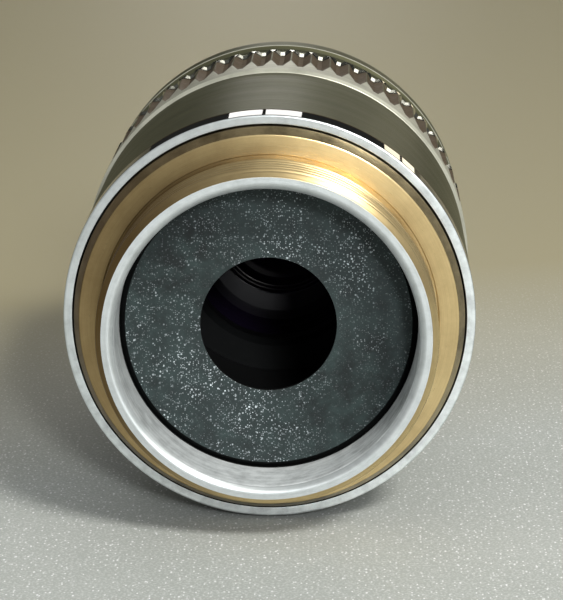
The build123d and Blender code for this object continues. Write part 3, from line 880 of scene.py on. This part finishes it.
def add_grip():
    """The knurled sleeve: one sector with one groove, repeated round the axis."""
    satin, face, polish, ends = range(4)
    knurl_rear = grip_low.z
    knurl_front = knurl_rear + knurl_length
    full = knurl_rear + groove_start + groove_runout
    band_r = tooth_tip_r - tooth_depth - band_step
    band_front = knurl_front + band_length
    rim_r = sleeve_r + grip_rim_rise
    highlight_r = rim_r - grip_highlight_line
    highlight_z = band_front + band_end_slope * (1 - grip_highlight_line / (rim_r - band_r))
    half = FULL_TURN / tooth_count / 2
    groove_half = half * tooth_tip_r - tooth_crest_width / 2
    slope = (groove_half - groove_floor_width / 2) / tooth_depth

    def knurled(r, z, angle):
        """The outside radius where the grooves are, and the plain radius elsewhere."""
        if r < tooth_tip_r - edge_margin or z > knurl_front + edge_margin:
            return r
        across = abs(angle) * tooth_tip_r
        cut = groove_depth(z) - max(0.0, across - groove_floor_width / 2) / slope
        return tooth_tip_r - max(0.0, cut)

    outline = [
        Corner(grip_thread_r, knurl_rear, 0.02, face),
        Corner(sleeve_r, knurl_rear, 0.03, face),
        Corner(tooth_tip_r, knurl_rear + tooth_edge_length, 0.0, face, 2),
        Corner(tooth_tip_r, knurl_rear + groove_start, 0, face, 18),
        Corner(tooth_tip_r, full, 0, satin, 3),
        Corner(tooth_tip_r, knurl_front - groove_end_slope, 0, ends, 3),
        Corner(tooth_tip_r, knurl_front, 0, satin),
        Corner(band_r, knurl_front, 0.02, polish, 3),
        Corner(band_r, band_front, 0.05, satin),
        # Painted highlight: a thin strip in the pale face finish at the top of the step to the rim
        Corner(highlight_r, highlight_z, 0, face),
        Corner(rim_r, band_front + band_end_slope, 0.03, satin, 2),
        Corner(rim_r, grip_high.z - grip_round, 0, satin),
    ]
    for step in range(1, grip_round_steps):
        angle = math.pi / 2 * step / grip_round_steps
        r = rim_r - grip_round * (1 - math.cos(angle))
        z = grip_high.z - grip_round * (1 - math.sin(angle))
        outline.append(Corner(r, z, 0, satin))
    outline += [
        Corner(rim_r - grip_round, grip_high.z, 0, satin),
        Corner(lip_front_r, grip_high.z, 0.05, satin),
        Corner(lip_r, grip_high.z - lip_front_depth, 0.03, satin),
        Corner(lip_r, lip_rear, 0.02, satin),
        Corner(grip_thread_r, lip_rear, 0.02, satin),
    ]
    floor_edge = groove_floor_width / 2 / tooth_tip_r
    crest_edge = groove_half / tooth_tip_r
    sides = [half]
    for step in range(groove_flank_steps + 1):
        sides.append(crest_edge + (floor_edge - crest_edge) * step / groove_flank_steps)
    angles = [-angle for angle in sides] + [0] + sides[::-1]
    used = ("satin_barrel", "knurl_face", "grip_polish", "groove_end")
    piece = turned("grip_dressed", outline, used, shape=knurled, angles=angles)
    knurl_tree().run(
        piece,
        {
            "Teeth": tooth_count,
            "First angle": math.radians(groove_turn),
            "Join distance": sector_join,
            "Tip radius": (tooth_tip_r - paint_margin) * MM,
            "Rear": (knurl_rear + groove_start) * MM,
            "Front": (knurl_front - groove_end_slope) * MM,
            "Flanks": finishes["knurl_flank_dirt_shade"],
        },
    )
    smoothed(piece.data, angle=25)
    return piece


def add_nose():
    """The nose cap: a plain collar and a polished cone down to the front lens."""
    collar_r = nose_high.x
    band, inner = range(2)
    return turned(
        "nose_dressed",
        [
            Corner(nose_back_r, nose_low.z, 0.02, band),
            Corner(collar_r, nose_low.z, 0.08, band, 2),
            Corner(collar_r, cone_start, 0.15, band, 4),
            Corner(cone_r, cone_start + cone_length, 0.2, band),
            Corner(nose_face_r, nose_high.z, 0.1, band),
            Corner(nose_hole_r, nose_high.z, 0.05, inner),
            Corner(nose_hole_r, nose_high.z - nose_hole_depth, 0.02, inner),
            Corner(nose_bore_r, nose_high.z - nose_hole_depth, 0.02, inner),
            Corner(nose_bore_r, nose_bore_rear, 0.02, inner),
            Corner(nose_back_r, nose_bore_rear, 0.02, inner),
        ],
        ("nose_metal", "inner_black"),
    )


def add_spring():
    """The coil that pushes the nose forward."""
    piece = new_object("spring_dressed", bpy.data.meshes.new("spring_dressed"))
    length = spring_high.z - spring_low.z
    spring_tree().run(
        piece,
        {
            "Turns": float(spring_turns),
            "Radius": spring_r * MM,
            "Height": (length - 2 * spring_wire_r) * MM,
            "Wire": spring_wire_r * MM,
            "Base": (spring_low.z + spring_wire_r) * MM,
            "Steel": finishes["spring_steel"],
        },
    )
    smoothed(piece.data, angle=50)
    return piece


dressed = (
    (add_mount, "mount_body", "barrel", "brass"),
    (add_stop, "rear_stop", "barrel", "black_anodised"),
    (add_barrel, "outer_sleeve", "barrel", "satin_chrome"),
    (add_grip, "knurled_sleeve", "barrel", "satin_chrome"),
    (add_nose, "nose_cap", "nose", "bright_chrome"),
    (add_spring, "carriage_spring", "barrel", "steel"),
)
for make, node, body, slot in dressed:
    piece = make()
    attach(piece, body)
    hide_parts(node)
    if node == "carriage_spring":
        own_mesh(piece)

# The other nodes keep the CAD's own meshes: cells and spacers are black, and what is left is glass
replaced = {node for _, node, _, _ in dressed}
kept_finishes = {
    "parfocal_shim": "thread_brass",
    "guide_screw": "spring_steel",
    "spring_seat": "inner_black",
    "carriage_tube": "carriage_metal",
    "centring_screws": "spring_steel",
}
for name, node in frame["nodes"].items():
    if name in replaced:
        continue
    is_black = "cell" in name or "spacer" in name
    finish = kept_finishes.get(name, "inner_black" if is_black else "lens_glass")
    node.data.materials.clear()
    node.data.materials.append(finishes[finish])


def one_sided(made, surface):
    """Shows a stage surface from its front only, so that it hides nothing from behind."""
    clear = add(made, "ShaderNodeBsdfTransparent")
    side = add(made, "ShaderNodeNewGeometry").outputs["Backfacing"]
    choice = add(made, "ShaderNodeMixShader")
    for source, target in zip((side, surface, clear.outputs[0]), choice.inputs):
        link(made, source, target)
    link(made, choice.outputs[0], made.node_tree.nodes["Material Output"].inputs[0])


def floor_material(name, fading):
    """A pale bench with a fine sparkle, which may turn warmer and darker with distance."""
    made, shader = material(name)
    at = place(made)
    tone = mixed(made, noise(made, at.source, 60.0, detail=5.0), BENCH_DARK, BENCH)
    grain = noise(made, at.source, 6200.0, detail=3.0, roughness=0.5)
    tone = mixed(made, ramp(made, grain, [(0.48, 0.0), (0.72, 0.8)]), tone, SPARKLE)
    # The bench stands along z and the ground along y, so one pattern on x and y + z / 2 serves both
    along = maths(made, "ADD", at.y, maths(made, "MULTIPLY", at.z, 0.5))
    pattern = joined_in(made.node_tree, at.x, along, 0)
    for cells_per_m, reach, rare in glint_sizes:
        glints = speckles(made, pattern, cells_per_m, reach, rare, core=0.4, fade=0.4, dimensions="2D")
        tone = mixed(made, glints, tone, GLINT)
    if fading:
        # 125 mm beyond the rear rim is 1 on this ramp, sooner on the left than on the right
        distance = maths(made, "SUBTRACT", at.z, maths(made, "MULTIPLY", at.x, 0.4))
        far = ramp(made, maths(made, "MULTIPLY", distance, 8.0), [(0.14, 0.0), (0.56, 1.0)])
        tone = mixed(made, far, tone, BENCH_FAR)
    link(made, tone, shader.inputs["Base Color"])
    shader.inputs["Roughness"].default_value = 0.55
    one_sided(made, shader.outputs[0])
    return made


def stage_plane(name, corners, made):
    """One surface of the stage, with its corners in millimetres."""
    mesh = bpy.data.meshes.new(name)
    mesh.from_pydata([Vector(corner) * MM for corner in corners], [], [(0, 1, 2, 3)])
    mesh.materials.append(made)
    plane = new_object(name, mesh)
    return plane


# The photograph's bench lies along the objective, at its widest ring. The standing part has a ground of its
# own, which only the camera sees.
bench_y = tooth_tip_r + bench_gap
bench_corners = [
    (-bench_reach, bench_y, bench_rear),
    (bench_reach, bench_y, bench_rear),
    (bench_reach, bench_y, bench_front),
    (-bench_reach, bench_y, bench_front),
]
stage_plane("bench", bench_corners, floor_material("pale_bench", fading=True))
ground_corners = [
    (-ground_reach, -ground_reach, ground_z),
    (ground_reach, -ground_reach, ground_z),
    (ground_reach, ground_reach, ground_z),
    (-ground_reach, ground_reach, ground_z),
]
ground = stage_plane("ground", ground_corners, floor_material("pale_floor", fading=False))
ground.visible_diffuse = False
ground.visible_glossy = False
ground.visible_transmission = False
ground.visible_shadow = False


def panel(name, toward, distance, width, height, watts, colour):
    """A rectangular light that stands in a given direction and faces the middle of the rear rim."""
    data = bpy.data.lights.new(name, "AREA")
    data.shape = "RECTANGLE"
    data.size, data.size_y = width * MM, height * MM
    data.energy = watts
    data.color = colour
    made = new_object(name, data)
    way = Vector(toward).normalized()
    made.location = way * distance * MM
    made.rotation_mode = "QUATERNION"
    made.rotation_quaternion = way.to_track_quat("Z", "Y")


# Each light's name, direction, distance, width, height, watts and colour
lights = (
    ("window_left", (-0.0676, -0.150, 0.985), 620, 42.5, 90, 0.034, DAYLIGHT),
    ("window_right", (-0.0004, -0.165, 0.986), 620, 45.5, 90, 0.036, DAYLIGHT),
    ("warm_window", (0.1593, -0.048, 0.984), 620, 24.5, 45, 0.009, WARM_LIGHT),
    ("warm_pane", (0.1903, -0.0135, 0.984), 620, 21, 45, 0.008, WARM_LIGHT),
    ("ceiling_window", (0.20, -0.51, 0.80), 620, 430, 80, 0.28, DAYLIGHT),
    ("lamp", (0.42, -0.68, -0.60), 450, 90, 90, 2.1, LAMP_LIGHT),
    ("room_window", (0.21, -0.363, -0.908), 700, 90, 90, 3.0, SKY_LIGHT),
)
for light in lights:
    panel(*light)


def set_world():
    """A pale room round the sides and behind the camera, dark overhead where the polished band looks."""
    world = bpy.data.worlds.new("room")
    bpy.context.scene.world = world
    world.use_nodes = True
    way = add(world, "ShaderNodeTexCoord").outputs["Generated"]
    height = add(world, "ShaderNodeMapRange")
    height.inputs["From Min"].default_value = -1
    link(world, split_in(world.node_tree, way)[2], height.inputs["Value"])
    shade = ramp(world, height.outputs[0], [(0.72, ROOM), (0.95, ROOM_DARK)])
    link(world, shade, world.node_tree.nodes["Background"].inputs["Color"])


def set_camera():
    """Puts the camera where the fitted rings say that the photograph's camera stood."""
    data = bpy.data.cameras.new("camera")
    data.sensor_width = sensor
    data.lens = focal_pixels / photo_height * sensor
    data.clip_start, data.clip_end = nearest_shown * MM, farthest_shown * MM
    camera = new_object("camera", data)
    axis = axis_from_camera.normalized()
    right = Vector((1, 0, 0))
    right = (right - axis * right.dot(axis)).normalized()
    part_to_camera = Matrix((right, axis.cross(right), axis)).transposed().to_4x4()
    part_to_camera.translation = rim_from_camera * MM
    camera.matrix_world = part_to_camera.inverted()
    bpy.context.scene.camera = camera


set_world()
set_camera()
bpy.context.scene.view_settings.view_transform = "Standard"
